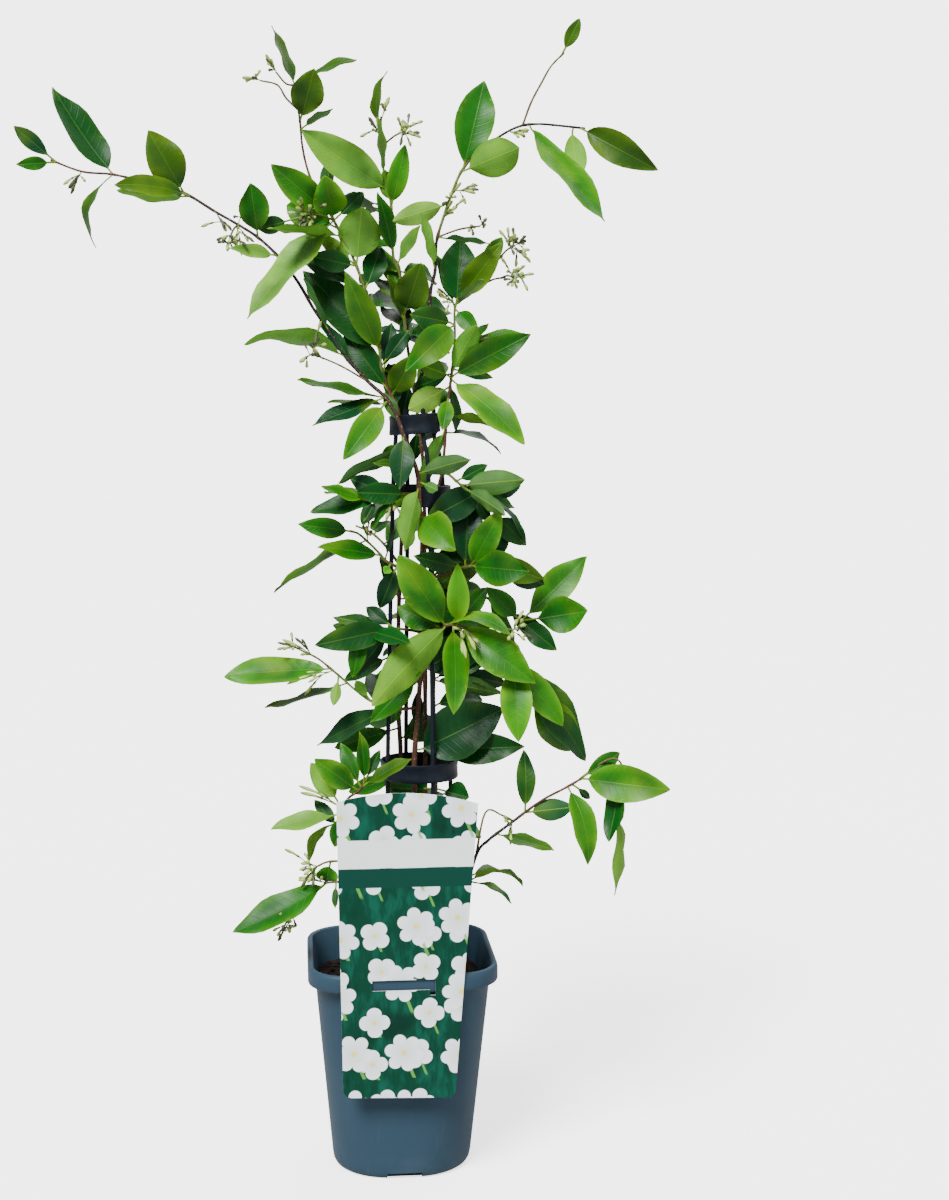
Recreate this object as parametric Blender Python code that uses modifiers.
# Potted star jasmine on a climbing column, in a square-rimmed nursery pot.
# Sizes and places below are in millimetres; MM turns them into metres. +Z is up and the pot's
# picture card faces -Y. Plant places are given as they are seen from the photo's viewpoint
# against the plane through the pot that faces it (x, z), with a depth y behind that plane, and are
# moved along the line of sight to that depth. The pot is turned a little to that viewpoint, so
# VIEW_TURN and VIEW_SHIFT bring viewed places into the pot's own frame.
import bpy
import bmesh
import math
import random
import numpy as np
from mathutils import Vector
from mathutils.bvhtree import BVHTree

MM = 0.001
VIEW_EYE = (56.0, -1350.0, 550.0)
VIEW_TURN = math.radians(-5.5)
VIEW_SHIFT = (-1.0, 6.5)        # across and up

# pot
POT_HEIGHT = 156.5
WALL = 1.6
FIT = 0.3                       # gap between touching pieces
SOIL_GAP = 0.35
BASE_HALF, BASE_CORNER, BASE_Z = 51.0, 41.0, 8.0
NECK_HALF, NECK_CORNER, NECK_Z = 62.8, 30.0, 142.5
RIM_HALF, RIM_CORNER = 68.4, 31.0
FLOOR_Z = 7.0
NOTCH_WIDE, NOTCH_HIGH = 25.0, 4.5
SOIL_TOP = 132.5
HOLE_DEPTH = 20.0

# picture card
CARD_Y, CARD_THICK = -69.6, 0.8
CARD_TOP, CARD_FOOT = 287.5, 68.5
CARD_HALF_TOP, CARD_HALF_FOOT = 49.5, 39.8
CARD_ARCH, CARD_CORNER = 7.0, 6.0
CARD_SHIFT_TOP, CARD_SHIFT_FOOT = 1.9, -4.8
SLOT_X0, SLOT_X1, SLOT_Z0, SLOT_Z1 = -23.7, 21.1, 146.4, 153.9
TONGUE_X0, TONGUE_X1 = -19.0, 17.0

# climbing column: bands (centre x, middle z, outer radius, height, lean in degrees)
COLUMN_Y = -1.4
BANDS = {
    "column_band_low": (14.4, 292.0, 28.5, 13.0, 0.0),
    "column_band_middle": (14.4, 491.0, 23.5, 15.0, 0.0),
    "column_band_top": (12.0, 542.5, 18.5, 14.0, 4.0),
}
BAND_WALL = 1.6
UPRIGHT_RADIUS = 1.6
UPRIGHT_STATIONS = [(14.4, 112.8, 26.2), (14.4, 291.5, 24.9), (14.4, 490.5, 19.9),
                    (12.2, 534.5, 14.9), (12.2, 553.0, 14.7)]
UPRIGHT_ANGLES = (19.5, 109.5, 199.5, 289.5)

# leaves
BLADE_THICK = 0.8
CLEARANCE = 1.3                 # half thickness of the test slab around each leaf
UNDER = (5, 7)                  # tones whose pale underside is turned to the photo's viewpoint
ROWS = (0.0, 0.36, 0.7, 1.0)    # blade stations between petiole end and tip
FEW_ROWS = (0.0, 0.42, 1.0)
TEST_ROWS = (0.0, 0.2, 0.4, 0.6, 0.8, 1.0)

# Vines rooted in the soil. root: (x, y) of the hole. route: (x, z, y). r: radius at root and tip.
# twigs: routes of thin side twigs. leaves: (base x, base z, tip x, tip z, seen width,
# depth of tip from base, tone[, arch]). buds: (base x, base z, tip x, tip z, depth).
# sprays: (base x, base z, centre x, centre z, bud count, bud reach, depth).
VINES = [
    dict(name="vine_left_arm", root=(6, -12), r=(2.5, 0.8), route=[
        (8, 165, -13), (12, 230, -14), (12, 290, -12), (15, 330, -10), (18, 385, -9),
        (18, 438, -10), (18, 455, -19), (17, 470, -28), (16, 485, -29), (15, 500, -28),
        (11, 513, -27), (5, 528, -26), (0, 542, -24), (-8, 555, -21), (-20, 566, -18),
        (-38, 586, -14), (-50, 605, -10), (-59, 618, -8), (-70, 637, -6), (-84, 655, -3),
        (-98, 668, 0), (-112, 677, 3), (-128, 686, 5), (-150, 699, 6), (-175, 706, 7),
        (-200, 712, 8), (-222, 714, 8), (-244, 722, 8)], twigs=[], leaves=[
        (-199, 714, -241, 775, 22, 12, 3, -0.06), (-243, 722, -270, 746, 12, -8, 4, -0.04),
        (-243, 721, -269, 719, 10, -12, 2), (-150, 700, -175, 743, 27, -10, 6),
        (-148, 698, -199, 706, 14, -20, 3, 0.07), (-201, 710, -216, 661, 6, 8, 6, 0.2),
        (-97, 668, -103, 706, 22, -14, 2), (-84, 656, -118, 661, 10, -14, 1),
        (-36, 584, -109, 595, 12, -22, 7, 0.13), (-48, 602, -65, 640, 5, -8, 5),
        (-8, 555, -71, 569, 6, -10, 6), (-10, 553, -61, 536, 12, -16, 4),
        (-6, 551, -50, 554, 4, 6, 6), (-10, 550, -38, 511, 20, -22, 1),
        (10, 512, -43, 494, 9, -14, 5, 0.07), (5, 528, 2, 489, 18, -10, 4),
        (16, 500, 54, 511, 14, -22, 5), (17, 494, 30, 488, 8, -16, 5),
        (17, 470, 41, 446, 26, -34, 0), (12, 300, 78, 329, 40, -24, 4),
        (-148, 698, -198, 703, 12, -34, 7, -0.06), (16, 490, 3, 443, 16, -20, 7),
        (18, 362, -20, 319, 18, -10, 3), (8, 520, -11, 515, 8, -6, 1),
        (9, 503, -17, 509, 6, -16, 6), (12, 486, -9, 476, 8, -24, 6)],
        buds=[(-112, 677, -106, 692, -4), (-112, 676, -114, 660, -6), (-98, 668, -104, 678, -8),
              (-128, 686, -120, 672, -5), (-224, 714, -232, 702, -4)],
        sprays=[(-22, 567, -60, 586, 3, 14, -8), (-112, 677, -118, 668, 3, 9, -8)]),
    dict(name="vine_top_left", root=(-8, 4), r=(2.3, 0.8), route=[
        (-4, 165, 5), (0, 230, 7), (2, 290, 8), (0, 340, 9), (1, 400, 9), (3, 450, 8),
        (5, 500, 6), (5, 522, 6), (1, 546, 6), (-6, 561, 6), (-11, 577, 6), (-12, 592, 6),
        (-17, 612, 6), (-28, 648, 5), (-44, 680, 4), (-58, 705, 3), (-63, 718, 2),
        (-66, 733, 2), (-67, 746, 2), (-69, 762, 2), (-70, 776, 2)],
        twigs=[[(-68, 756, 2), (-77, 765, 1), (-83, 774, 0), (-95, 777, 0)],
               [(-70, 773, 2), (-77, 775, 5), (-84, 783, 6)]], leaves=[
        (-69, 772, -85, 816, 8, 10, 4), (-70, 775, -28, 794, 4, -12, 4, 0.03),
        (-67, 748, -57, 785, 24, -12, 2),
        (-65, 744, -44, 759, 6, -20, 5), (-46, 684, -88, 719, 22, -18, 1),
        (-44, 679, -50, 711, 24, -24, 2), (-47, 692, -44, 728, 10, 14, 5),
        (-42, 682, -22, 700, 12, 12, 3), (-43, 675, -78, 691, 24, -8, 1),
        (-46, 680, -108, 612, 19, -24, 0, 0.01), (-12, 590, -67, 646, 28, 16, 4),
        (-28, 650, -24, 690, 31, -16, 7), (-13, 587, -36, 644, 21, -14, 6),
        (-23, 632, -10, 662, 18, 20, 4), (-7, 558, -38, 603, 20, 8, 4),
        (-4, 557, 13, 585, 20, -12, 6), (-9, 577, 9, 603, 13, 8, 4),
        (2, 546, -6, 580, 14, 8, 4), (-38, 670, -92, 678, 9, -16, 7),
        (-28, 648, -61, 655, 16, -6, 3)],
        buds=[(-95, 777, -108, 779, -1), (-84, 782, -91, 793, -1)],
        sprays=[(-30, 652, -43, 658, 5, 9, -10), (-45, 682, -62, 684, 6, 10, -12)]),
    dict(name="vine_centre_top", root=(16, 12), r=(2.3, 0.8), route=[
        (17, 165, 12), (19, 230, 13), (20, 290, 13), (20, 350, 12), (20, 420, 12),
        (20, 470, 12), (18, 520, 11), (13, 556, 11), (7, 600, 12), (3, 641, 12),
        (-2, 656, 12), (-3, 690, 11), (-8, 712, 10), (-10, 735, 10), (-10, 752, 10)],
        twigs=[], leaves=[
        (-5, 700, -66, 743, 27, -26, 1, 0.02), (-10, 744, -6, 784, 7, 6, 6, 0.14),
        (-8, 712, -11, 752, 6, -16, 1), (-3, 690, 7, 733, 15, -10, 1),
        (-4, 690, -8, 716, 12, -18, 7), (-2, 656, -12, 700, 13, -12, 2),
        (1, 648, 17, 677, 9, -12, 1), (5, 612, 18, 650, 25, -18, 6),
        (9, 582, 6, 612, 10, -8, 4), (5, 628, -14, 664, 14, 12, 2),
        (6, 604, -5, 642, 8, -14, 6)],
        buds=[(-10, 752, -4, 766, -4), (-10, 738, -19, 752, -5)],
        sprays=[(-9, 730, 8, 743, 4, 10, -8)]),
    dict(name="vine_right", root=(28, -4), r=(2.3, 0.8), route=[
        (29, 165, -5), (28, 230, -6), (27, 290, -6), (26, 340, -5), (26, 400, -4),
        (26, 450, -3), (29, 484, -2), (33, 505, -3), (35, 526, -3), (36, 546, -3),
        (38, 560, -2), (40, 575, -1), (42, 597, 0), (42, 618, 2), (48, 632, 4)],
        twigs=[[(44, 622, 3), (54, 630, 2), (68, 638, 0), (78, 640, 0)],
               [(44, 624, 3), (60, 642, 0), (76, 655, -2)]], leaves=[
        (43, 620, 46, 668, 27, 12, 4), (44, 626, 75, 664, 19, 8, 6),
        (43, 620, 62, 640, 6, -18, 5), (43, 618, 58, 601, 13, -14, 3),
        (41, 606, 7, 574, 24, -26, 2), (39, 570, 18, 578, 14, -14, 5),
        (40, 573, 58, 607, 17, -14, 7), (41, 582, 66, 608, 8, 10, 1),
        (39, 569, 96, 600, 22, -20, 1), (38, 567, 93, 524, 20, -28, 0, 0.04),
        (37, 562, 8, 546, 18, -26, 7), (37, 556, 33, 532, 12, -20, 1),
        (36, 541, 77, 536, 7, -12, 7), (35, 530, 76, 516, 4, 8, 4, 0.12),
        (35, 532, 13, 485, 11, -26, 7), (28, 264, 62, 232, 15, -34, 5),
        (28, 266, -10, 271, 20, -26, 3), (28, 262, 58, 256, 8, 8, 2),
        (27, 302, 93, 301, 24, -16, 3), (26, 350, 77, 341, 12, 4, 5),
        (41, 608, 10, 614, 18, -10, 3), (28, 274, 52, 263, 19, -30, 3)],
        buds=[(43, 620, 30, 628, -6), (42, 615, 31, 617, -8), (41, 590, 62, 590, -6),
              (41, 586, 66, 596, -10)],
        sprays=[(75, 640, 84, 640, 4, 9, -2), (74, 654, 84, 662, 6, 12, -4)]),
    dict(name="vine_low_left", root=(-18, -24), r=(1.9, 0.9), route=[
        (-24, 165, -34), (-33, 195, -40), (-43, 226, -43), (-44, 248, -43), (-37, 262, -41),
        (-29, 268, -40), (-24, 275, -39)],
        twigs=[[(-34, 198, -40), (-44, 200, -41), (-55, 199, -42)],
               [(-41, 218, -43), (-52, 215, -44), (-61, 211, -46)]], leaves=[
        (-30, 269, -61, 292, 18, -8, 1), (-46, 258, -64, 289, 16, 8, 7),
        (-28, 271, -42, 304, 12, 10, 2), (-25, 275, -27, 312, 10, -4, 2),
        (-24, 276, -13, 299, 8, 12, 3), (-26, 272, 9, 293, 10, -10, 6),
        (-44, 256, -47, 226, 12, -8, 2), (-45, 250, -94, 241, 13, -12, 1),
        (-45, 246, -67, 215, 7, 6, 7, 0.2), (-50, 215, -54, 199, 16, 8, 1),
        (-53, 199, -124, 163, 22, -12, 2, -0.08), (-46, 200, -47, 180, 5, -8, 3),
        (-44, 240, -62, 262, 10, 14, 3)],
        buds=[(-61, 211, -70, 205, -4), (-61, 211, -72, 214, -2), (-60, 211, -67, 199, -4),
              (-54, 199, -74, 203, 8), (-44, 256, -73, 272, 4)],
        sprays=[(-53, 199, -84, 168, 3, 8, 8)]),
    dict(name="vine_low_right", root=(38, -26), r=(1.9, 0.8), route=[
        (43, 165, -33), (50, 195, -40), (58, 222, -43), (66, 231, -43), (72, 236, -42),
        (84, 245, -42), (93, 252, -41), (107, 262, -41), (122, 270, -41), (134, 277, -41)],
        twigs=[[(134, 277, -41), (145, 286, -42), (156, 292, -43), (163, 289, -44),
                (166, 276, -45), (163, 260, -45), (161, 249, -45)],
               [(56, 216, -43), (64, 252, -36), (76, 250, -34), (84, 246, -33)]], leaves=[
        (94, 253, 92, 299, 14, 8, 3, 0.14), (94, 253, 130, 256, 16, -10, 5),
        (72, 236, 115, 225, 9, -14, 6), (134, 278, 163, 297, 12, 12, 2, 0.2),
        (124, 271, 141, 213, 17, -18, 1, 0.16), (134, 276, 200, 269, 27, -12, 1),
        (164, 285, 154, 230, 14, -16, 3, -0.03), (161, 250, 157, 190, 8, -4, 7, -0.09),
        (51, 200, 83, 206, 4, -8, 7, 0.14), (52, 204, 92, 198, 5, 6, 6, 0.14),
        (50, 198, 84, 185, 4, -10, 4, 0.12), (128, 272, 141, 262, 6, 6, 4)],
        buds=[(84, 245, 80, 242, -6), (118, 267, 115, 244, -8)], sprays=[]),
]

# Side shoots: grown from a parent stem at their first point.
SHOOTS = [
    dict(name="shoot_top_right", parent="vine_centre_top", r=(1.5, 0.8), route=[
        (13, 556, 11), (19, 575, 5), (22, 600, 1), (24, 620, -1), (25, 632, -2), (28, 645, -3),
        (29, 665, -3), (35, 685, -2), (42, 704, -1), (48, 716, 0), (60, 729, 1), (78, 741, 2),
        (90, 746, 2), (102, 747, 2), (115, 746, 2), (134, 744, 2)],
        twigs=[[(90, 746, 2), (96, 762, 4), (103, 775, 6), (110, 787, 7), (119, 796, 8)]],
        leaves=[
        (48, 716, 63, 778, 28, 12, 2), (48, 713, 89, 731, 27, -18, 5),
        (119, 795, 130, 820, 10, -4, 6), (125, 744, 130, 707, 16, -8, 5),
        (133, 744, 186, 715, 22, -14, 6), (95, 746, 150, 680, 18, -14, 1),
        (38, 690, -3, 679, 16, -20, 7),
        (28, 646, 19, 687, 8, -16, 7), (30, 670, 68, 665, 5, -16, 5)],
        buds=[(37, 690, 40, 700, -4), (34, 682, 44, 690, -5), (40, 700, 57, 699, -6),
              (80, 741, 92, 739, -5)],
        sprays=[(30, 668, 60, 676, 2, 8, -4)]),
    dict(name="shoot_left_upper", parent="vine_left_arm", r=(1.2, 0.8), route=[
        (16, 482, -29), (7, 486, -33), (-3, 484, -35), (-13, 482, -36), (-22, 480, -36)],
        twigs=[], leaves=[
        (8, 485, -29, 487, 16, -22, 3), (-12, 482, -63, 473, 14, -6, 4),
        (-6, 484, -53, 489, 8, 16, 6), (-14, 481, -24, 466, 6, -12, 4),
        (-3, 484, -19, 460, 6, -12, 4), (-20, 480, -54, 492, 6, 10, 2)],
        buds=[(-2, 484, -8, 466, -8)], sprays=[]),
    dict(name="shoot_left_middle", parent="vine_left_arm", r=(1.2, 0.8), route=[
        (18, 430, -9), (8, 431, -14), (-2, 434, -18), (-9, 438, -20), (-14, 444, -20),
        (-21, 451, -20), (-28, 457, -20), (-34, 459, -20)], twigs=[], leaves=[
        (-33, 459, -72, 464, 15, -12, 2), (-12, 441, -57, 448, 14, -22, 3),
        (-22, 452, -91, 416, 6, 6, 6, 0.03), (-9, 438, -2, 461, 4, -8, 4),
        (-1, 433, -13, 402, 15, 8, 4), (-4, 435, -9, 428, 7, -8, 0)],
        buds=[(-21, 451, -22, 463, -4)], sprays=[]),
    dict(name="shoot_left_low_middle", parent="vine_left_arm", r=(1.2, 0.8), route=[
        (18, 386, -9), (8, 387, -14), (-4, 388, -19), (-16, 387, -20), (-28, 384, -21)],
        twigs=[], leaves=[
        (-6, 388, -47, 397, 9, 10, 3), (-4, 387, -60, 376, 20, -20, 3),
        (-27, 384, -33, 352, 13, -10, 2), (-4, 385, -32, 352, 12, 6, 4),
        (-24, 385, -48, 392, 10, 16, 3), (-20, 387, 10, 377, 13, -26, 3)],
        buds=[(-27, 384, -22, 372, -8)], sprays=[]),
    dict(name="shoot_left_lower", parent="vine_left_arm", r=(1.2, 0.8), route=[
        (15, 328, -10), (4, 329, -16), (-8, 331, -20), (-20, 335, -21), (-31, 343, -22),
        (-40, 351, -22), (-48, 358, -22)],
        twigs=[[(-48, 358, -22), (-58, 366, -20), (-70, 372, -18), (-76, 375, -18)]],
        leaves=[
        (-48, 358, -127, 354, 20, -6, 1), (-42, 353, -47, 331, 8, -14, 7),
        (-37, 347, -98, 331, 5, 10, 6, -0.04), (-20, 335, -31, 350, 8, -12, 7),
        (-4, 330, -61, 303, 16, -14, 4), (5, 330, -22, 318, 15, 8, 4)],
        buds=[(-60, 366, -84, 380, -4), (-74, 374, -84, 373, -6), (-48, 356, -81, 347, -10)],
        sprays=[]),
    dict(name="shoot_front", parent="vine_right", r=(1.4, 0.8), route=[
        (26, 372, -4), (29, 382, -14), (33, 389, -24), (39, 391, -31), (47, 390, -36),
        (56, 385, -38), (68, 377, -38), (80, 368, -37), (90, 358, -36)], twigs=[], leaves=[
        (36, 390, -20, 331, 26, -26, 7), (40, 390, 42, 325, 19, -28, 1),
        (46, 390, 100, 348, 28, -24, 1), (82, 366, 121, 316, 20, 4, 1),
        (85, 363, 88, 305, 23, -14, 0), (89, 359, 141, 290, 25, 14, 2),
        (36, 391, 82, 386, 9, -34, 1, 0.16), (35, 390, 1, 441, 27, -18, 0),
        (33, 388, 0, 404, 20, -2, 2), (45, 391, 44, 435, 16, -14, 0),
        (42, 391, 66, 419, 14, -6, 1)],
        buds=[(46, 390, 57, 372, -30), (44, 390, 50, 366, -30)],
        sprays=[(52, 388, 84, 387, 4, 12, -18)]),
    dict(name="shoot_right_middle", parent="vine_right", r=(1.3, 0.8), route=[
        (26, 424, -4), (36, 428, -11), (46, 432, -16), (55, 434, -20), (64, 438, -22)],
        twigs=[], leaves=[
        (49, 433, 52, 485, 24, 12, 4), (53, 434, 75, 474, 20, -16, 0),
        (54, 434, 95, 430, 26, -26, 1), (62, 437, 107, 424, 18, 4, 6),
        (60, 436, 80, 464, 20, 12, 4), (46, 432, 12, 441, 14, -8, 3)],
        buds=[(63, 438, 86, 424, -8)], sprays=[]),
    dict(name="shoot_right", parent="vine_right", r=(1.3, 0.8), route=[
        (26, 404, -4), (38, 409, -2), (52, 413, -2), (66, 410, -5), (80, 401, -8),
        (92, 392, -10)], twigs=[], leaves=[
        (88, 395, 65, 418, 16, -12, 2), (90, 386, 138, 401, 27, -14, 1, -0.05),
        (93, 396, 138, 441, 24, 8, 1, -0.05), (86, 392, 116, 372, 16, -10, 3),
        (66, 410, 86, 374, 10, 8, 3)],
        buds=[(91, 393, 100, 378, -4)], sprays=[]),
    dict(name="shoot_right_upper", parent="vine_right", r=(1.2, 0.8), route=[
        (32, 502, -3), (37, 500, -14), (43, 495, -22), (50, 489, -25), (58, 485, -26)],
        twigs=[], leaves=[
        (43, 495, 66, 507, 10, 8, 3), (46, 492, 93, 496, 18, -14, 5),
        (50, 489, 80, 471, 11, -20, 5), (54, 487, 86, 476, 10, 10, 2),
        (57, 485, 93, 450, 4, 4, 4, 0.14)],
        buds=[], sprays=[]),
]

# Shoots on the far side: parent, height of the start, plan angle, length, rise, seed.
FAR_SHOOTS = [
    ("shoot_far_1", "vine_top_left", 228, 128, 58, 18, 3),
    ("shoot_far_2", "vine_centre_top", 246, 62, 58, 14, 5),
    ("shoot_far_3", "vine_centre_top", 362, 84, 70, 18, 11),
    ("shoot_far_4", "vine_centre_top", 420, 44, 64, 22, 13),
    ("shoot_far_5", "vine_top_left", 440, 118, 64, 26, 17),
    ("shoot_far_6", "vine_centre_top", 585, 66, 54, 26, 19),
    ("shoot_far_7", "vine_top_left", 604, 122, 54, 22, 23),
    ("shoot_far_8", "vine_centre_top", 676, 88, 44, 26, 29),
]
# Pairs of leaves behind the vines inside the plant: lowest height, step and count for each vine.
FILL_VINES = ("vine_left_arm", "vine_top_left", "vine_centre_top", "vine_right")
FILL_LOW, FILL_STEP, FILL_COUNT = 304, 21, 18
# Where far leaves may show from the photo's viewpoint: z up to, x from, x to; and open patches.
FAR_LIMITS = [(250, -42, 46), (300, -44, 52), (350, -30, 66), (400, -28, 78), (450, -6, 74),
              (500, -32, 68), (535, -14, 32), (560, -14, 42), (620, -20, 54), (700, -44, 40),
              (770, -40, -2)]
OPEN_PATCHES = [(-12, 302, 12), (68, 272, 26), (27, 354, 8), (28, 336, 9), (74, 327, 8), (8, 448, 9),
                (-9, 451, 11), (21, 449, 3), (-32, 470, 6), (-2, 388, 7), (-19, 371, 7),
                (-30, 372, 4), (78, 378, 6), (31, 522, 5), (-10, 532, 7), (41, 600, 6), (12, 677, 20)]


def clear_scene():
    for ob in list(bpy.data.objects):
        bpy.data.objects.remove(ob, do_unlink=True)


def make_collection(name):
    col = bpy.data.collections.new(name)
    bpy.context.scene.collection.children.link(col)
    return col


def material(name, rgb, rough):
    mat = bpy.data.materials.new(name)
    mat.use_nodes = True
    mat.diffuse_color = (rgb[0], rgb[1], rgb[2], 1.0)
    shader = mat.node_tree.nodes["Principled BSDF"]
    shader.inputs["Base Color"].default_value = (rgb[0], rgb[1], rgb[2], 1.0)
    shader.inputs["Roughness"].default_value = rough
    return mat


def add_mesh(name, verts, faces, col):
    me = bpy.data.meshes.new(name)
    me.from_pydata([(v[0] * MM, v[1] * MM, v[2] * MM) for v in verts], [], faces)
    me.update()
    ob = bpy.data.objects.new(name, me)
    col.objects.link(ob)
    return ob


def bake(ob):
    # replace the object's data by its evaluated mesh, and drop the modifiers
    dg = bpy.context.evaluated_depsgraph_get()
    me = bpy.data.meshes.new_from_object(ob.evaluated_get(dg))
    ob.modifiers.clear()
    if ob.type == "MESH":
        ob.data = me
        return ob
    new = bpy.data.objects.new(ob.name, me)
    for col in list(ob.users_collection):
        col.objects.link(new)
    name = ob.name
    bpy.data.objects.remove(ob, do_unlink=True)
    new.name = name
    return new


def tidy(ob, dist=1e-6):
    bm = bmesh.new()
    bm.from_mesh(ob.data)
    bmesh.ops.remove_doubles(bm, verts=bm.verts, dist=dist)
    bmesh.ops.delete(bm, geom=[v for v in bm.verts if not v.link_faces], context="VERTS")
    bmesh.ops.recalc_face_normals(bm, faces=bm.faces)
    bm.to_mesh(ob.data)
    bm.free()
    return ob


def merge_close(ob, dist=1e-4):
    # collapse the very short edges that cuts leave, only where the surface stays closed
    bm = bmesh.new()
    bm.from_mesh(ob.data)
    bmesh.ops.triangulate(bm, faces=bm.faces)
    found = True
    while found:
        found = False
        short = [e for e in bm.edges if e.calc_length() < dist]
        for e in sorted(short, key=lambda e: e.calc_length()):
            if not e.is_valid or e.calc_length() >= dist:
                continue
            a, b = e.verts
            near = [{x.other_vert(v) for x in v.link_edges} for v in (a, b)]
            if len(near[0] & near[1]) == 2 and min(len(n) for n in near) > 3:
                bmesh.ops.pointmerge(bm, verts=[a, b], merge_co=(a.co + b.co) / 2)
                found = True
    bmesh.ops.delete(bm, geom=[v for v in bm.verts if not v.link_faces], context="VERTS")
    bmesh.ops.recalc_face_normals(bm, faces=bm.faces)
    bm.to_mesh(ob.data)
    bm.free()
    return ob


def hide_cutter(ob):
    ob.hide_render = True
    ob.display_type = "WIRE"


def boolean(ob, operation, other, solver="EXACT"):
    mod = ob.modifiers.new("bool", "BOOLEAN")
    mod.operation = operation
    mod.solver = solver
    if isinstance(other, bpy.types.Collection):
        mod.operand_type = "COLLECTION"
        mod.collection = other
    else:
        mod.object = other
    return bake(ob)


# places along the line of sight

def place(x, y, z):
    # viewed frame to the pot's frame
    x, z = x + VIEW_SHIFT[0], z + VIEW_SHIFT[1]
    c, s = math.cos(VIEW_TURN), math.sin(VIEW_TURN)
    return Vector((x * c - y * s, x * s + y * c, z))


def unplace(p):
    c, s = math.cos(VIEW_TURN), math.sin(VIEW_TURN)
    return (p.x * c + p.y * s - VIEW_SHIFT[0], -p.x * s + p.y * c, p.z - VIEW_SHIFT[1])


EYE = place(*VIEW_EYE)


def slide(x, z, y):
    ex, ey, ez = VIEW_EYE
    k = (y - ey) / -ey
    return place(ex + (x - ex) * k, y, ez + (z - ez) * k)


def elevation(p):
    ex, ey, ez = VIEW_EYE
    x, y, z = unplace(p)
    k = -ey / (y - ey)
    return ex + (x - ex) * k, ez + (z - ez) * k


def depth(p):
    return unplace(p)[1]


def smooth_route(pts, n):
    # Catmull-Rom curve through the points, n steps a span
    ring = [pts[0] * 2 - pts[1]] + list(pts) + [pts[-1] * 2 - pts[-2]]
    out = []
    for i in range(1, len(ring) - 2):
        a, b, c, d = ring[i - 1:i + 3]
        for k in range(n):
            t = k / n
            out.append(0.5 * (b * 2 + (c - a) * t + (a * 2 - b * 5 + c * 4 - d) * t * t
                              + (b * 3 - a - c * 3 + d) * t * t * t))
    out.append(ring[-2].copy())
    return out


def chord_points(pts, n):
    # points along the straight spans, where leaves and twigs may start
    return [a.lerp(b, k / n) for a, b in zip(pts, pts[1:]) for k in range(n)]


def route_radii(pts, r):
    lengths = [0.0]
    for a, b in zip(pts, pts[1:]):
        lengths.append(lengths[-1] + (b - a).length)
    return [r[0] + (r[1] - r[0]) * (s / lengths[-1]) ** 0.8 for s in lengths]


def tube_test(pts, radii, sides=6):
    verts, faces = [], []
    for i, p in enumerate(pts):
        d = (pts[min(i + 1, len(pts) - 1)] - pts[max(i - 1, 0)]).normalized()
        u = d.cross(Vector((0.31, 0.9, 0.3))).normalized()
        w = d.cross(u)
        for k in range(sides):
            a = 2 * math.pi * k / sides
            verts.append(p + (u * math.cos(a) + w * math.sin(a)) * radii[i])
    for i in range(len(pts) - 1):
        for k in range(sides):
            a, b = i * sides + k, i * sides + (k + 1) % sides
            faces.append((a, b, b + sides, a + sides))
    return verts, faces


def box_test(x0, x1, y0, y1, z0, z1):
    v = [Vector((x, y, z)) for z in (z0, z1) for y in (y0, y1) for x in (x0, x1)]
    f = [(0, 1, 3, 2), (4, 5, 7, 6), (0, 1, 5, 4), (2, 3, 7, 6), (0, 2, 6, 4), (1, 3, 7, 5)]
    return v, f


class Solid:
    # a placed body for the clearance test
    def __init__(self, node, kind, verts, faces):
        self.node, self.kind = node, kind
        arr = np.array([tuple(v) for v in verts])
        self.low, self.high = arr.min(0), arr.max(0)
        self.tree = BVHTree.FromPolygons([tuple(v) for v in verts], faces)

    def hits(self, other):
        if (self.low > other.high).any() or (other.low > self.high).any():
            return False
        return bool(self.tree.overlap(other.tree))


# leaves

def width_at(u):
    return 2.87 * u ** 0.65 * (1 - u) ** 0.9 if 0 < u < 1 else 0.0


def make_leaf(base, tip, width, under, stalk, bow, turn=0.0, up=None):
    length = (tip - base).length
    axis = (tip - base) / length
    stalk = min(0.45, max(4.0 / length, stalk / length))
    blade = length * (1 - stalk)
    real = max(width, min(0.36 * blade, 30.0))
    if up is None:
        view = (EYE - (base + tip) / 2)
        view = (view - axis * view.dot(axis)).normalized()
        side = axis.cross(view)
        phi = math.acos(min(1.0, width / real))
        best = None
        for sign in (1, -1):
            face = view * math.cos(phi) + side * math.sin(phi) * sign
            n = -face if under else face
            if best is None or n.z > best.z:
                best = n
        n = best
        if bow is None:
            bow = 0.07 - 0.1 * math.sin(phi)
    else:
        n = (up - axis * up.dot(axis)).normalized()
    side = axis.cross(n)
    if turn:
        n, side = (n * math.cos(turn) + side * math.sin(turn),
                   side * math.cos(turn) - n * math.sin(turn))
    return dict(base=base, tip=tip, axis=axis, n=n, side=side, width=real, stalk=stalk,
                bow=bow, length=length, seen=width)


def leaf_grid(leaf, rows, fold=0.28, start=None, across=(-1, 0, 1)):
    # rows across the leaf: left edge, midrib, right edge
    ts = [0.0] + [leaf["stalk"] + (1 - leaf["stalk"]) * u for u in rows]
    us = [0.0] + list(rows)
    grid = []
    for t, u in zip(ts, us):
        if start is not None and t < start:
            t = start
            u = max(0.0, (t - leaf["stalk"]) / (1 - leaf["stalk"]))
        h = max(leaf["width"] / 2 * width_at(u), 0.7 if u < 0.5 else 0.0)
        c = leaf["base"].lerp(leaf["tip"], t)
        c = c + leaf["n"] * (leaf["bow"] * leaf["length"] * 4 * t * (1 - t))
        grid.append([c + leaf["side"] * (h * v) + leaf["n"] * (fold * h * abs(v))
                     for v in across])
    return grid


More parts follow.
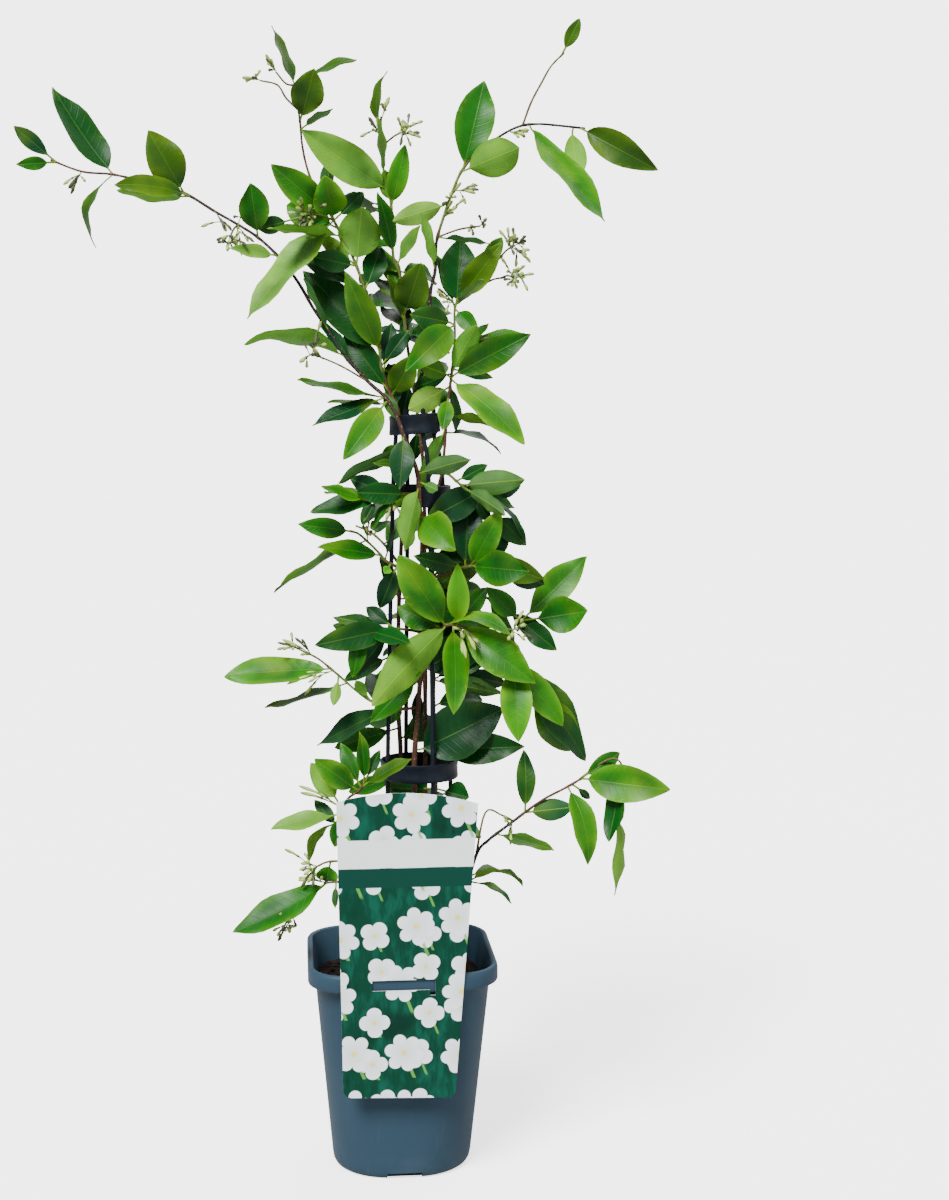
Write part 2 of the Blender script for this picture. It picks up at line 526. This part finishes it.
def slab_test(grid, n, half):
    rows = len(grid)
    verts = [p + n * (half * s) for s in (1, -1) for row in grid for p in row]
    top = rows * 3
    faces = []
    for i in range(rows - 1):
        for j in range(2):
            a = i * 3 + j
            q = (a, a + 1, a + 4, a + 3)
            faces.append(q)
            faces.append(tuple(k + top for k in q))
        for j in (0, 2):
            a = i * 3 + j
            faces.append((a, a + 3, a + 3 + top, a + top))
    for i in (0, rows - 1):
        for j in (0, 1):
            a = i * 3 + j
            faces.append((a, a + 1, a + 1 + top, a + top))
    return verts, faces


def leaf_solids(node, leaf, half):
    whole = Solid(node, "leaf", *slab_test(leaf_grid(leaf, TEST_ROWS), leaf["n"], half))
    outer = Solid(node, "leaf", *slab_test(leaf_grid(leaf, TEST_ROWS, start=0.2), leaf["n"], half))
    return whole, outer


class Layout:
    # all stems, leaves and buds, bent clear of one another
    def __init__(self):
        self.stems, self.twigs, self.leaves, self.buds = {}, {}, {}, {}
        self.fixed, self.placed = [], []
        self.shown, self.lost = [], []

    def stem_points(self, name):
        pts = chord_points(self.stems[name][0], 6)[1:]
        for t in self.twigs[name]:
            pts += chord_points(t[0], 6)
        return pts

    def nearest(self, name, x, z, twigs=True):
        pts = self.stem_points(name) if twigs else chord_points(self.stems[name][0], 6)[1:]
        best, found = None, None
        for p in pts:
            ex, ez = elevation(p)
            d = (ex - x) ** 2 + (ez - z) ** 2
            if best is None or d < best:
                best, found = d, p
        return found, math.sqrt(best)

    def add_stem(self, spec):
        name = spec["name"]
        pts = [slide(x, z, y) for x, z, y in spec["route"]]
        if "root" in spec:
            x, y = place(*spec["root"], 0)[:2]
            pts = [Vector((x, y, SOIL_TOP - HOLE_DEPTH + FIT)), Vector((x, y, SOIL_TOP + 4))] + pts
        else:
            pts[0] = self.nearest(spec["parent"], *spec["route"][0][:2], twigs=False)[0]
        self.set_stem(name, pts, spec["r"])
        for t in spec.get("twigs", []):
            tw = [slide(x, z, y) for x, z, y in t]
            self.twigs[name] = self.twigs[name] + []
            start = self.nearest(name, *t[0][:2], twigs=False)[0]
            tw[0] = start
            self.twigs[name].append((tw, (0.9, 0.7)))
            line = smooth_route(tw, 2)
            self.fixed.append(Solid(name, "twig", *tube_test(line, route_radii(line, (0.9, 0.7)))))

    def set_stem(self, name, pts, r):
        self.stems[name] = (pts, r)
        self.twigs[name], self.leaves[name], self.buds[name] = [], [], []
        line = smooth_route(pts, 2)
        self.fixed.append(Solid(name, "stem", *tube_test(line, route_radii(line, r))))

    def is_clear(self, node, whole, outer):
        for s in self.fixed:
            if s.node != node and whole.hits(s):
                return False
        for w, o in self.placed:
            if w.node == node:
                if outer.hits(o):
                    return False
            elif whole.hits(w):
                return False
        return True

    def hides(self, leaf):
        # the leaf stands before the leaves and stems that the photo shows
        count = 0
        for row in leaf_grid(leaf, TEST_ROWS)[2:]:
            for q in row:
                way = (q - EYE).normalized()
                if any(s.tree.ray_cast(q, way)[0] is not None for s in self.shown):
                    count += 1
        return count > 3

    def try_leaf(self, name, make):
        # make(swing, turn) gives a leaf or None; the first clear one is kept
        for turn in (0.0, 0.22, -0.22, 0.45, -0.45):
            for swing in (0, -5, 5, -10, 10, -16, 16, -23, 23, -31, 31):
                leaf = make(swing, turn)
                if leaf is None:
                    continue
                whole, outer = leaf_solids(name, leaf, CLEARANCE)
                if self.is_clear(name, whole, outer) and not self.hides(leaf):
                    thin = leaf_solids(name, leaf, 0.5)
                    self.placed.append(thin)
                    self.leaves[name].append(leaf)
                    return leaf
        self.lost.append(name)
        return None

    def add_leaf(self, spec, row):
        name = spec["name"]
        bx, bz, tx, tz, width, deep, tone = row[:7]
        bow = row[7] if len(row) > 7 else None
        base, away = self.nearest(name, bx, bz)
        stalk = away + 4.0

        def make(swing, turn):
            tip = slide(tx, tz, depth(base) + deep + swing)
            leaf = make_leaf(base, tip, width, tone in UNDER, stalk, bow, turn)
            leaf["tone"] = tone
            return leaf
        if self.try_leaf(name, make) is None:
            print("no clear place for leaf", name, row)

    def add_bud(self, name, base, tip, size=1.0):
        line = [base.lerp(tip, t) for t in (0.0, 0.5, 1.0)]
        verts, faces = tube_test(line, (0.9, 1.2, 1.4 * size))
        body = Solid(name, "bud", verts, faces)
        crop = Solid(name, "bud", *tube_test(line[1:], (1.2, 1.4 * size)))
        if self.is_clear(name, body, crop):
            self.placed.append((body, crop))
            self.buds[name].append((base, tip, size))

    def add_buds(self, spec):
        name = spec["name"]
        for bx, bz, tx, tz, deep in spec.get("buds", []):
            base = self.nearest(name, bx, bz)[0]
            self.add_bud(name, base, slide(tx, tz, depth(base) + deep))
        for k, (bx, bz, cx, cz, count, reach, deep) in enumerate(spec.get("sprays", [])):
            rnd = random.Random(100 + 7 * k + len(name))
            base = self.nearest(name, bx, bz)[0]
            hub = slide(cx, cz, depth(base) + deep)
            line = [base, base.lerp(hub, 0.5) + Vector((0, 0, 1.5)), hub]
            body = Solid(name, "twig", *tube_test(line, (0.9, 0.9, 0.9)))
            crop = Solid(name, "twig", *tube_test(line[1:], (0.9, 0.9)))
            if not self.is_clear(name, body, crop):
                print("no clear place for spray", name, cx, cz)
                continue
            self.fixed.append(body)
            self.twigs[name].append((line, (0.8, 0.7)))
            out = (hub - base).normalized()
            for i in range(count):
                a = 2 * math.pi * (i + rnd.random() * 0.5) / count
                way = (out * 0.9 + Vector((math.cos(a), 0.5 * math.sin(a * 1.7), math.sin(a)))
                       * 0.9).normalized()
                start = hub if i % 2 == 0 else base.lerp(hub, 0.8)
                self.add_bud(name, start, start + way * reach * (0.75 + 0.4 * rnd.random()))

    def add_fill(self, name, height, angle, seed):
        # a pair of leaves behind a vine, one to each side, kept inside the plant's outline
        rnd = random.Random(seed)
        base = min(chord_points(self.stems[name][0], 6), key=lambda p: abs(p.z - height))
        for sign in (1, -1):
            def make(swing, turn, sign=sign):
                a = math.radians(90 - sign * angle + swing)
                w = Vector((math.cos(a), max(0.1, math.sin(a)), rnd.uniform(-0.35, 0.7)))
                size = rnd.uniform(42, 66)
                tip = base + w.normalized() * size
                leaf = make_leaf(base, tip, 0.44 * size, False, 4.0, 0.08, turn,
                                 up=Vector((0, -0.9, 0.6)))
                leaf["tone"], leaf["seen"] = rnd.choice((2, 3, 3, 4)), 12.0
                return leaf if self.within(leaf) else None
            self.try_leaf(name, make)

    def within(self, leaf):
        # the leaf shows only where the plant has leaves in the photo
        for row in leaf_grid(leaf, TEST_ROWS)[2:]:
            for q in row:
                ex, ez = elevation(q)
                lim = next((b for b in FAR_LIMITS if ez < b[0]), None)
                if lim is None or not lim[1] < ex < lim[2] or ez < 175:
                    return False
                if any((ex - c[0]) ** 2 + (ez - c[1]) ** 2 < c[2] ** 2 for c in OPEN_PATCHES):
                    return False
        return True

    def add_far_shoot(self, name, parent, height, angle, length, rise, seed):
        rnd = random.Random(seed)
        a = math.radians(angle)
        out = Vector((math.cos(a), math.sin(a), 0))
        others = [w for w, o in self.placed] + [s for s in self.fixed if s.node != parent]
        for shift in (0, 6, -6, 12, -12, 18, -18, 24):
            start = min(chord_points(self.stems[parent][0], 6),
                        key=lambda p: abs(p.z - height - shift))
            pts = [start + out * (length * s) + Vector((0, 0, rise * (1.9 * s - 0.9 * s * s)))
                   for s in (0, 0.3, 0.65, 1.0)]
            line = smooth_route(pts, 2)
            line[0] = line[0].lerp(line[1], 0.3)
            body = Solid(name, "stem", *tube_test(line, [1.9] * len(line)))
            if not any(body.hits(w) for w in others):
                break
        else:
            print("no clear place for", name)
        self.set_stem(name, pts, (1.1, 0.8))
        across = Vector((-out.y, out.x, 0))
        line = chord_points(pts, 6)
        for station in (0.42, 0.7, 0.98):
            p = line[int(station * (len(line) - 1))]
            for sign in (1, -1):
                def make(swing, turn, p=p, sign=sign, station=station):
                    w = (out * (0.35 + 0.5 * station + 0.012 * swing)
                         + across * sign * (0.85 + 0.2 * rnd.random())
                         + Vector((0, 0, rnd.uniform(-0.35, 0.45))))
                    size = rnd.uniform(44, 66) * (1.08 - 0.18 * station)
                    tip = p + w.normalized() * size
                    leaf = make_leaf(p, tip, 0.4 * size, False, 4.0, 0.09, turn,
                                     up=Vector((0, 0.25, 1)))
                    leaf["seen"] = 8.0
                    leaf["tone"] = rnd.choice((1, 2, 2, 3, 3))
                    return leaf if self.within(leaf) else None
                self.try_leaf(name, make)


def upright_points(angle):
    a = math.radians(angle)
    return [Vector((cx + r * math.cos(a), COLUMN_Y + r * math.sin(a), z))
            for cx, z, r in UPRIGHT_STATIONS]


def build_layout():
    lay = Layout()
    for i, angle in enumerate(UPRIGHT_ANGLES):
        pts = upright_points(angle)
        lay.fixed.append(Solid("column", "rod", *tube_test(pts, [UPRIGHT_RADIUS + 0.3] * len(pts))))
    for cx, z, r, high, lean in BANDS.values():
        for rr in (r + 0.4, r - BAND_WALL - 0.4):
            ring = [(math.cos(k * math.pi / 12) * rr, math.sin(k * math.pi / 12) * rr)
                    for k in range(24)]
            slope = math.tan(math.radians(lean))
            verts = [Vector((cx + x, COLUMN_Y + y, z + s * (high / 2 + 0.5) + x * slope))
                     for s in (-1, 1) for x, y in ring]
            faces = [(k, (k + 1) % 24, (k + 1) % 24 + 24, k + 24) for k in range(24)]
            lay.fixed.append(Solid("column", "band", verts, faces))
    lay.fixed.append(Solid("card", "card", *box_test(-48, 52, CARD_Y - 1.5, CARD_Y + 2, 66, 288)))
    lay.fixed.append(Solid("pot", "pot", *box_test(-69, 69, -69, 69, 0, 158)))
    for spec in VINES + SHOOTS:
        lay.add_stem(spec)
    lay.fixed = [s for s in lay.fixed if s.kind != "pot"] + \
                [s for s in lay.fixed if s.kind == "pot"]
    for spec in SHOOTS[5:6] + VINES + SHOOTS[:5] + SHOOTS[6:]:
        for row in spec["leaves"]:
            lay.add_leaf(spec, row)
    for spec in VINES + SHOOTS:
        lay.add_buds(spec)
    lay.shown = [w for w, o in lay.placed] + [s for s in lay.fixed if s.kind == "stem"]
    for far in FAR_SHOOTS:
        lay.add_far_shoot(*far)
    for k, name in enumerate(FILL_VINES):
        for i in range(FILL_COUNT):
            lay.add_fill(name, FILL_LOW + FILL_STEP * (i + k / 4), 45 + 30 * ((i + k) % 2), i * 7 + k)
    return lay


# solids of the plant

def tube_object(name, pts, radii, col, sides=1):
    cu = bpy.data.curves.new(name, "CURVE")
    cu.dimensions = "3D"
    sp = cu.splines.new("POLY")
    sp.points.add(len(pts) - 1)
    for q, p, r in zip(sp.points, pts, radii):
        q.co = (p.x * MM, p.y * MM, p.z * MM, 1.0)
        q.radius = r
    cu.bevel_depth = MM
    cu.bevel_resolution = sides
    cu.use_fill_caps = True
    ob = bpy.data.objects.new(name, cu)
    col.objects.link(ob)
    return tidy(bake(ob))


def leaf_object(name, leaf, col):
    # large leaves are folded along the midrib, small ones are flat
    seen = leaf["seen"]
    rows = ROWS if seen > 12 else FEW_ROWS
    across = (-1, 0, 1) if seen > 20 else (-1, 1)
    grid = leaf_grid(leaf, rows, fold=0.28 if seen > 20 else 0.14, across=across)
    bm = bmesh.new()
    bmesh.ops.create_grid(bm, x_segments=len(across) - 1, y_segments=len(grid) - 1, size=1.0)
    bm.verts.ensure_lookup_table()
    order = sorted(bm.verts, key=lambda v: (round(v.co.y, 4), round(v.co.x, 4)))
    flat = [p for row in grid for p in row]
    for v, p in zip(order, flat):
        v.co = p * MM
    bmesh.ops.remove_doubles(bm, verts=bm.verts, dist=1e-6)
    bmesh.ops.triangulate(bm, faces=bm.faces, quad_method="FIXED")
    me = bpy.data.meshes.new(name)
    bm.to_mesh(me)
    bm.free()
    ob = bpy.data.objects.new(name, me)
    col.objects.link(ob)
    mod = ob.modifiers.new("thick", "SOLIDIFY")
    mod.thickness = BLADE_THICK * MM
    mod.offset = 0.0
    return tidy(bake(ob))


def bud_object(name, base, tip, size, col):
    length = (tip - base).length
    body = min(9.0, length * 0.7)
    ts = [0.0, 1 - 0.55 * body / length, 1.0]
    radii = [0.6, 1.5 * size, 0.35]
    return tube_object(name, [base.lerp(tip, t) for t in ts], radii, col, sides=0)


def plant_object(lay, name, parent, col, mats):
    pts, r = lay.stems[name]
    line = smooth_route(pts, 1)
    radii = route_radii(line, r)
    if parent:
        # slender start, lost in the seat cut below
        line.insert(1, line[0] + (line[1] - line[0]).normalized() * 2.4)
        radii = [0.5, radii[0]] + radii[1:]
    ob = tube_object(name, line, radii, col, sides=0)
    parts = make_collection(name + "_parts")
    for i, leaf in enumerate(lay.leaves[name]):
        leaf_object("%s_leaf_%d" % (name, i), leaf, parts)
    for i, (tw, tr) in enumerate(lay.twigs[name]):
        tl = smooth_route(tw, 1)
        tube_object("%s_twig_%d" % (name, i), tl, route_radii(tl, tr), parts, sides=0)
    for i, (base, tip, size) in enumerate(lay.buds[name]):
        bud_object("%s_bud_%d" % (name, i), base, tip, size, parts)
    if parts.objects:
        ob = merge_close(boolean(ob, "UNION", parts))
    for piece in list(parts.objects):
        bpy.data.objects.remove(piece, do_unlink=True)
    bpy.data.collections.remove(parts)
    if parent:
        cuts = make_collection(name + "_seat")
        ppts, pr = lay.stems[parent]
        pline = smooth_route(ppts, 1)
        radii = [q + FIT * 1.42 for q in route_radii(pline, pr)]
        cutter = tube_object(name + "_seat_cutter", pline, radii, cuts, sides=0)
        hide_cutter(cutter)
        ob = boolean(ob, "DIFFERENCE", cutter)
    tidy(ob)
    ob.data.materials.clear()
    ob.data.materials.append(mats)
    return ob


# pot, soil, card, column

def rounded_square(half, corner, z, arc=5, flat=1):
    pts = []
    for q in range(4):
        turn = q * math.pi / 2
        cx, cy = half - corner, half - corner
        for k in range(arc + 1):
            a = math.pi / 2 * k / arc
            x, y = cx + corner * math.cos(a), cy + corner * math.sin(a)
            pts.append((x * math.cos(turn) - y * math.sin(turn),
                        x * math.sin(turn) + y * math.cos(turn), z))
        for k in range(1, flat):
            x, y = cx - 2 * cx * k / flat, half
            pts.append((x * math.cos(turn) - y * math.sin(turn),
                        x * math.sin(turn) + y * math.cos(turn), z))
    return pts


def loft(name, sections, col):
    # skin between unlike rounded squares, closed by a cap at each end
    rings = [rounded_square(half, corner, z) for z, half, corner in sections]
    n = len(rings[0])
    verts = [p for ring in rings for p in ring]
    faces = []
    for i in range(len(rings) - 1):
        for k in range(n):
            a, b = i * n + k, i * n + (k + 1) % n
            faces.append((a, b, b + n, a + n))
    faces.append(tuple(range(n)))
    faces.append(tuple(range((len(rings) - 1) * n, len(rings) * n)))
    return tidy(add_mesh(name, verts, faces, col))


def body_half(z):
    t = (z - BASE_Z) / (NECK_Z - BASE_Z)
    return BASE_HALF + (NECK_HALF - BASE_HALF) * t, BASE_CORNER + (NECK_CORNER - BASE_CORNER) * t


def make_pot(col, cuts):
    inner = []
    for z in (144.5, 12.0):
        half, corner = body_half(z)
        inner.append((z, half - WALL, corner - WALL))
    top = POT_HEIGHT
    sections = [(0.0, 46.0, 38.0), (1.4, 48.9, 40.0), (4.2, 50.5, 41.0),
                (BASE_Z, BASE_HALF, BASE_CORNER),
                (NECK_Z, NECK_HALF, NECK_CORNER), (NECK_Z + 1.4, RIM_HALF - 0.8, RIM_CORNER),
                (NECK_Z + 2.6, RIM_HALF, RIM_CORNER), (top - 3, RIM_HALF, RIM_CORNER),
                (top - 0.7, RIM_HALF - 0.8, RIM_CORNER - 0.5), (top, RIM_HALF - 2.2, RIM_CORNER - 2),
                (top - 0.6, RIM_HALF - 4.0, RIM_CORNER - 3.5),
                (top - 2.8, RIM_HALF - 4.8, RIM_CORNER - 4)]
    sections += inner + [(FLOOR_Z, 46.6, 37.0)]
    pot = loft("pot", sections, col)
    for k in range(4):
        a = k * math.pi / 2
        x, y = 51.5 * math.sin(a), -51.5 * math.cos(a)
        wide, deep = (NOTCH_WIDE, 15.0) if k % 2 == 0 else (15.0, NOTCH_WIDE)
        bpy.ops.mesh.primitive_cube_add(size=1, location=(x * MM, y * MM, 0))
        cut = bpy.context.object
        cut.name = "notch_cutter_%d" % k
        cut.scale = (wide * MM, deep * MM, 2 * NOTCH_HIGH * MM)
        move_to(cut, cuts)
        hide_cutter(cut)
        pot = boolean(pot, "DIFFERENCE", cut)
    return tidy(pot)


def move_to(ob, col):
    for c in list(ob.users_collection):
        c.objects.unlink(ob)
    col.objects.link(ob)


def make_soil(lay, col, cuts):
    sections = []
    for z in (FLOOR_Z + FIT, 12.0):
        half, corner = (46.0, 36.0) if z < 10 else body_half(z)
        off = 0.0 if z < 10 else WALL + SOIL_GAP
        sections.append((z, half - off, corner - off))
    half, corner = body_half(SOIL_TOP)
    sections.append((SOIL_TOP, half - WALL - SOIL_GAP, corner - WALL - SOIL_GAP))
    soil = loft("soil", sections, col)
    holes = [tuple(place(*spec["root"], 0)[:2]) + (spec["r"][0],) for spec in VINES]
    for angle in UPRIGHT_ANGLES:
        p = upright_points(angle)[0]
        holes.append((p.x, p.y, UPRIGHT_RADIUS + 0.25))
    for i, (x, y, r) in enumerate(holes):
        bpy.ops.mesh.primitive_cylinder_add(
            vertices=8, radius=(r + FIT + 0.3) * MM, depth=2 * HOLE_DEPTH * MM,
            location=(x * MM, y * MM, SOIL_TOP * MM))
        cut = bpy.context.object
        cut.name = "hole_cutter_%d" % i
        move_to(cut, cuts)
        hide_cutter(cut)
        soil = boolean(soil, "DIFFERENCE", cut)
    return tidy(soil)


def prism(name, outline, y0, y1, col, axis="y"):
    # a flat outline (x, z) drawn out from y0 to y1, or (y, z) drawn out from x0 to x1
    n = len(outline)
    if axis == "y":
        verts = [(x, y, z) for y in (y0, y1) for x, z in outline]
    else:
        verts = [(x, y, z) for x in (y0, y1) for y, z in outline]
    faces = [tuple(range(n)), tuple(range(2 * n - 1, n - 1, -1))]
    faces += [(k, (k + 1) % n, (k + 1) % n + n, k + n) for k in range(n)]
    return tidy(add_mesh(name, verts, faces, col))


def make_card(col, cuts):
    left = []
    for k in range(5):
        a = math.radians(180 + 22.5 * k)
        left.append((-CARD_HALF_FOOT + CARD_CORNER + CARD_CORNER * math.cos(a),
                     CARD_FOOT + CARD_CORNER + CARD_CORNER * math.sin(a)))
    right = [(-x, z) for x, z in reversed(left)]
    arch = []
    for k in range(13):
        s = 1 - 2 * k / 12
        arch.append((CARD_HALF_TOP * s, CARD_TOP - CARD_ARCH * s * s))
    lean = (CARD_SHIFT_TOP - CARD_SHIFT_FOOT) / (CARD_TOP - CARD_FOOT)
    outline = [(x + CARD_SHIFT_FOOT + lean * (z - CARD_FOOT), z - lean * x)
               for x, z in left + right + arch]
    half = CARD_THICK / 2
    card = prism("picture_card", outline, CARD_Y - half, CARD_Y + half, col)
    slot = prism("slot_cutter", [(SLOT_X0, SLOT_Z0), (SLOT_X1 - 4, SLOT_Z0), (SLOT_X1 - 4, SLOT_Z0 - 4),
                                 (SLOT_X1, SLOT_Z0 - 4), (SLOT_X1, SLOT_Z1), (SLOT_X0, SLOT_Z1)],
                 CARD_Y - 3, CARD_Y + 3, cuts)
    hide_cutter(slot)
    card = boolean(card, "DIFFERENCE", slot)
    path = [(CARD_Y, POT_HEIGHT + 1.6), (-62.7, POT_HEIGHT + 1.6), (-59.0, POT_HEIGHT - 19)]
    t = 0.4
    strip = [(path[0][0], path[0][1] - t), (path[1][0] - t, path[1][1] - t),
             (path[2][0] - t, path[2][1]), (path[2][0] + t, path[2][1]),
             (path[1][0] + t, path[1][1] + t), (path[0][0], path[0][1] + t)]
    tongue = prism("tongue", strip, TONGUE_X0, TONGUE_X1, cuts, axis="x")
    hide_cutter(tongue)
    return tidy(boolean(card, "UNION", tongue))


def make_band(name, col):
    cx, z, r, high, lean = BANDS[name]
    profile = [(r - BAND_WALL, -high / 2), (r, -high / 2), (r, high / 2), (r - BAND_WALL, high / 2)]
    ob = add_mesh(name, [(x, 0, zz) for x, zz in profile], [(0, 1, 2, 3)], col)
    me = ob.data
    bm = bmesh.new()
    bm.from_mesh(me)
    bmesh.ops.delete(bm, geom=bm.faces[:], context="FACES_ONLY")
    bm.to_mesh(me)
    bm.free()
    mod = ob.modifiers.new("turn", "SCREW")
    mod.angle = 2 * math.pi
    mod.steps = mod.render_steps = 20
    mod.use_merge_vertices = True
    mod.merge_threshold = 1e-6
    ob = tidy(bake(ob))
    slope = math.tan(math.radians(lean))
    for v in ob.data.vertices:
        v.co.z += v.co.x * slope + z * MM
        v.co.x += cx * MM
        v.co.y += COLUMN_Y * MM
    return ob


def main():
    clear_scene()
    col = make_collection("potted_star_jasmine")
    cuts = make_collection("cutters")
    mats = {
        "pot": material("pot", (0.075, 0.125, 0.18), 0.45),
        "soil": material("soil", (0.035, 0.025, 0.018), 0.95),
        "card": material("card", (0.02, 0.16, 0.12), 0.35),
        "column": material("column", (0.012, 0.02, 0.035), 0.4),
        "vine": material("vine", (0.1, 0.27, 0.035), 0.45),
        "shoot": material("shoot", (0.13, 0.33, 0.04), 0.45),
    }
    lay = build_layout()
    count = sum(len(v) for v in lay.leaves.values())
    print("leaves", count, "lost", len(lay.lost), "buds", sum(len(v) for v in lay.buds.values()))
    stems = [s for s in lay.fixed if s.kind in ("stem", "twig", "rod", "band")]
    parents = {s["name"]: s["parent"] for s in SHOOTS}
    parents.update({f[0]: f[1] for f in FAR_SHOOTS})
    for i, a in enumerate(stems):
        for b in stems[i + 1:]:
            if a.node != b.node and parents.get(a.node) != b.node and \
                    parents.get(b.node) != a.node and a.hits(b):
                print("stems meet:", a.node, a.kind, b.node, b.kind)
    pot = make_pot(col, cuts)
    pot.data.materials.append(mats["pot"])
    soil = make_soil(lay, col, cuts)
    soil.data.materials.append(mats["soil"])
    card = make_card(col, cuts)
    card.data.materials.append(mats["card"])
    for name in BANDS:
        make_band(name, col).data.materials.append(mats["column"])
    for i, angle in enumerate(UPRIGHT_ANGLES):
        pts = upright_points(angle)
        rod = tube_object("column_upright_%d" % (i + 1), pts, [UPRIGHT_RADIUS] * len(pts), col)
        rod.data.materials.append(mats["column"])
    for spec in VINES:
        plant_object(lay, spec["name"], None, col, mats["vine"])
    for spec in SHOOTS:
        plant_object(lay, spec["name"], spec["parent"], col, mats["shoot"])
    for far in FAR_SHOOTS:
        plant_object(lay, far[0], far[1], col, mats["shoot"])
    total = 0
    for ob in col.objects:
        ob.data.calc_loop_triangles()
        total += len(ob.data.loop_triangles)
        print(ob.name, len(ob.data.loop_triangles))
    print("triangles", total)


main()
